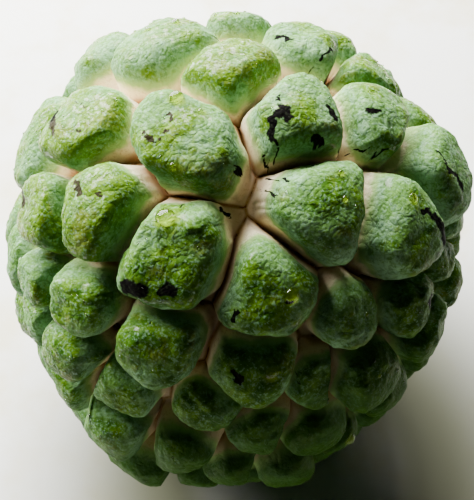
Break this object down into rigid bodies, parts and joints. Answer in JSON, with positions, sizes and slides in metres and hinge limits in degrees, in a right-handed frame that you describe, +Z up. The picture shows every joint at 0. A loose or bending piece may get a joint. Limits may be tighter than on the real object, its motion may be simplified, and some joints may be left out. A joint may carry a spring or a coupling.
{
  "type": "custard apple",
  "caption": "Whole green custard apple: a round knobbly fruit that lies on its side on a few flattened knobs.",
  "frame": {"origin": "on the table, under the middle of the fruit's bounding box", "axes": "+Z up from the table; the stalk end is raised at the back (+Y), the tip is low at the front (-Y)"},
  "size_m": [0.0843, 0.0874, 0.0878],
  "materials": {
    "skin": "bumpy green peel with a pale bloom, cream seams between the knobs, damp sheen",
    "water": "clear drops of water that stand on the peel"
  },
  "bodies": {
    "root": {"fruit": "skin"}
  },
  "joints": []
}
